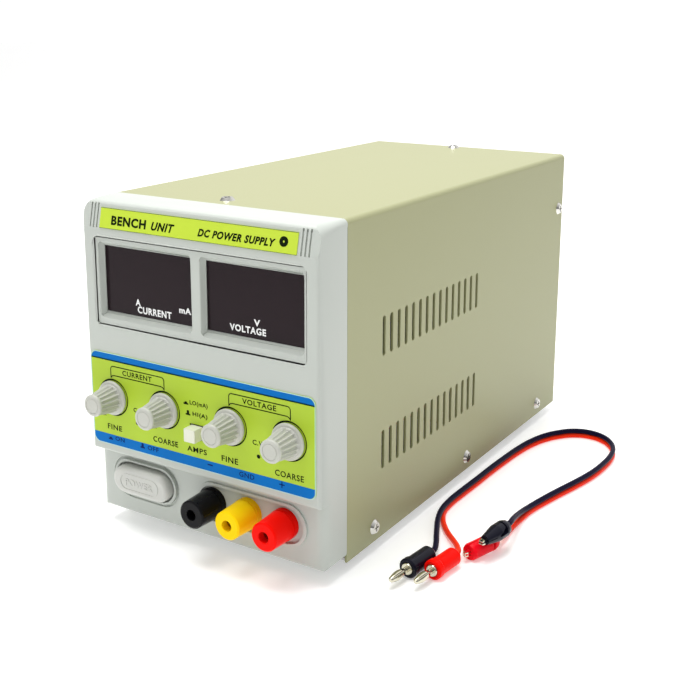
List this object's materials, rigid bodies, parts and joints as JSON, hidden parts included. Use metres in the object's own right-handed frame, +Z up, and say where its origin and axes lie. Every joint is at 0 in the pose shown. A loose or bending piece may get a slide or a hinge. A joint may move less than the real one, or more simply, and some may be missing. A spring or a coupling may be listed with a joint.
{
  "type": "bench power supply",
  "caption": "Compact bench power supply with twin meters, four control knobs, screw-down output posts and a pair of plug-to-clip output leads.",
  "frame": {"origin": "on the bench under the middle of the supply, leads not counted", "axes": "+Z up, the front panel faces -Y, +X to the right seen from the front"},
  "size_m": [0.1835, 0.276, 0.1553],
  "materials": {
    "bezel": "fine moulded texture",
    "lime_film": "printed film, satin",
    "filter": "dark smoked filter, glossy",
    "display": "segment display blocks",
    "board": "glass-epoxy board",
    "cover_paint": "fine satin powder coat",
    "zinc": "zinc-plated sheet",
    "nickel": "nickel plate, bright",
    "foot_rubber": "matt rubber",
    "knob": "satin light grey",
    "button_white": "off-white",
    "shaft": "turned",
    "pot": "pressed can",
    "black_plastic": "moulded",
    "brass": "turned, nickel flash",
    "black_gloss": "glossy",
    "yellow_gloss": "glossy",
    "red_gloss": "glossy",
    "copper_coil": "taped winding",
    "can": "sleeved cans",
    "black_alu": "black anodised",
    "wire": "insulated wire",
    "black_lead": "PVC flex",
    "red_lead": "PVC flex"
  },
  "bodies": {
    "case": {"front_bezel": "bezel", "title_strip": "lime_film", "control_overlay": "lime_film", "display_windows": "filter", "digit_displays": "display", "display_board": "board", "top_cover": "cover_paint", "chassis_tray": "zinc", "rear_panel": "cover_paint", "rubber_feet": "foot_rubber", "case_screws": "nickel", "small_screws": "zinc", "potentiometers": "pot", "pot_nuts": "zinc", "power_switch": "black_plastic", "range_switch": "black_plastic", "post_studs": "brass", "post_nuts": "brass", "negative_base": "black_gloss", "ground_base": "yellow_gloss", "positive_base": "red_gloss", "transformer_core": "zinc", "transformer_coil": "copper_coil", "main_board": "board", "capacitors": "can", "heatsink": "black_alu", "power_transistors": "black_plastic", "wire_harness": "wire", "fan_frame": "black_plastic", "fan_guard": "nickel", "mains_inlet": "black_plastic", "voltage_selector": "black_plastic"},
    "current_fine": {"current_fine_knob": "knob", "current_fine_shaft": "shaft"},
    "current_coarse": {"current_coarse_knob": "knob", "current_coarse_shaft": "shaft"},
    "voltage_fine": {"voltage_fine_knob": "knob", "voltage_fine_shaft": "shaft"},
    "voltage_coarse": {"voltage_coarse_knob": "knob", "voltage_coarse_shaft": "shaft"},
    "power_button": {"power_button": "knob"},
    "range_button": {"range_button": "button_white"},
    "negative_washer": {"negative_washer": "brass"},
    "negative_cap": {"negative_cap": "black_gloss"},
    "ground_washer": {"ground_washer": "brass"},
    "ground_cap": {"ground_cap": "yellow_gloss"},
    "positive_washer": {"positive_washer": "brass"},
    "positive_cap": {"positive_cap": "red_gloss"},
    "fan_rotor": {"fan_rotor": "black_plastic"},
    "selector_slider": {"selector_slider": "red_gloss"},
    "fuse_drawer": {"fuse_drawer": "black_plastic"},
    "leads": {"black_lead": "black_lead", "red_lead": "red_lead", "black_plug_sleeve": "black_gloss", "red_plug_sleeve": "red_gloss", "plug_pins": "nickel", "black_clip_base": "black_gloss", "red_clip_base": "red_gloss"},
    "black_clip_jaw": {"black_clip_jaw": "black_gloss"},
    "red_clip_jaw": {"red_clip_jaw": "red_gloss"}
  },
  "joints": [
    {"name": "current_fine_turn", "type": "hinge", "parent": "case", "child": "current_fine", "pos_m": [-0.048, -0.124, 0.0645], "axis": [0, -1, 0], "range_deg": [-150, 150]},
    {"name": "current_coarse_turn", "type": "hinge", "parent": "case", "child": "current_coarse", "pos_m": [-0.018, -0.124, 0.0645], "axis": [0, -1, 0], "range_deg": [-150, 150]},
    {"name": "voltage_fine_turn", "type": "hinge", "parent": "case", "child": "voltage_fine", "pos_m": [0.018, -0.124, 0.0645], "axis": [0, -1, 0], "range_deg": [-150, 150]},
    {"name": "voltage_coarse_turn", "type": "hinge", "parent": "case", "child": "voltage_coarse", "pos_m": [0.048, -0.124, 0.0645], "axis": [0, -1, 0], "range_deg": [-150, 150]},
    {"name": "power_press", "type": "slide", "parent": "case", "child": "power_button", "axis": [0, 1, 0], "range_m": [0, 0.004], "stiffness_N_per_m": 700, "springref_m": -0.003},
    {"name": "range_press", "type": "slide", "parent": "case", "child": "range_button", "axis": [0, 1, 0], "range_m": [0, 0.0025], "stiffness_N_per_m": 500, "springref_m": -0.003},
    {"name": "negative_travel", "type": "slide", "parent": "case", "child": "negative_washer", "axis": [0, -1, 0], "range_m": [0, 0.004]},
    {"name": "negative_unscrew", "type": "hinge", "parent": "negative_washer", "child": "negative_cap", "pos_m": [0.004, -0.1277, 0.0247], "axis": [0, -1, 0], "range_deg": [0, 1440]},
    {"name": "ground_travel", "type": "slide", "parent": "case", "child": "ground_washer", "axis": [0, -1, 0], "range_m": [0, 0.004]},
    {"name": "ground_unscrew", "type": "hinge", "parent": "ground_washer", "child": "ground_cap", "pos_m": [0.023, -0.1277, 0.0247], "axis": [0, -1, 0], "range_deg": [0, 1440]},
    {"name": "positive_travel", "type": "slide", "parent": "case", "child": "positive_washer", "axis": [0, -1, 0], "range_m": [0, 0.004]},
    {"name": "positive_unscrew", "type": "hinge", "parent": "positive_washer", "child": "positive_cap", "pos_m": [0.042, -0.1277, 0.0247], "axis": [0, -1, 0], "range_deg": [0, 1440]},
    {"name": "fan_spin", "type": "hinge", "parent": "case", "child": "fan_rotor", "pos_m": [-0.022, 0.1242, 0.109], "axis": [0, 1, 0], "continuous": true},
    {"name": "selector_slide", "type": "slide", "parent": "case", "child": "selector_slider", "axis": [1, 0, 0], "range_m": [0, 0.0066]},
    {"name": "fuse_drawer_pull", "type": "slide", "parent": "case", "child": "fuse_drawer", "axis": [0, 1, 0], "range_m": [0, 0.016]},
    {"name": "leads_place", "type": "slide", "parent": "case", "child": "leads", "axis": [1, 0, 0], "range_m": [0, 0.15]},
    {"name": "black_clip_open", "type": "hinge", "parent": "leads", "child": "black_clip_jaw", "pos_m": [0.10852, -0.05589, 0.0103], "axis": [-0.9903, 0.1392, 0], "range_deg": [0, 14], "stiffness_Nm_per_rad": 0.15, "springref_deg": -14.32},
    {"name": "red_clip_open", "type": "hinge", "parent": "leads", "child": "red_clip_jaw", "pos_m": [0.10312, -0.05827, 0.00385], "axis": [0, 0, 1], "range_deg": [0, 14], "stiffness_Nm_per_rad": 0.15, "springref_deg": -14.32}
  ],
  "couplings": [
    {"joint": "negative_travel", "follows": "negative_unscrew", "m_per_rad": 0.00015915},
    {"joint": "ground_travel", "follows": "ground_unscrew", "m_per_rad": 0.00015915},
    {"joint": "positive_travel", "follows": "positive_unscrew", "m_per_rad": 0.00015915}
  ]
}
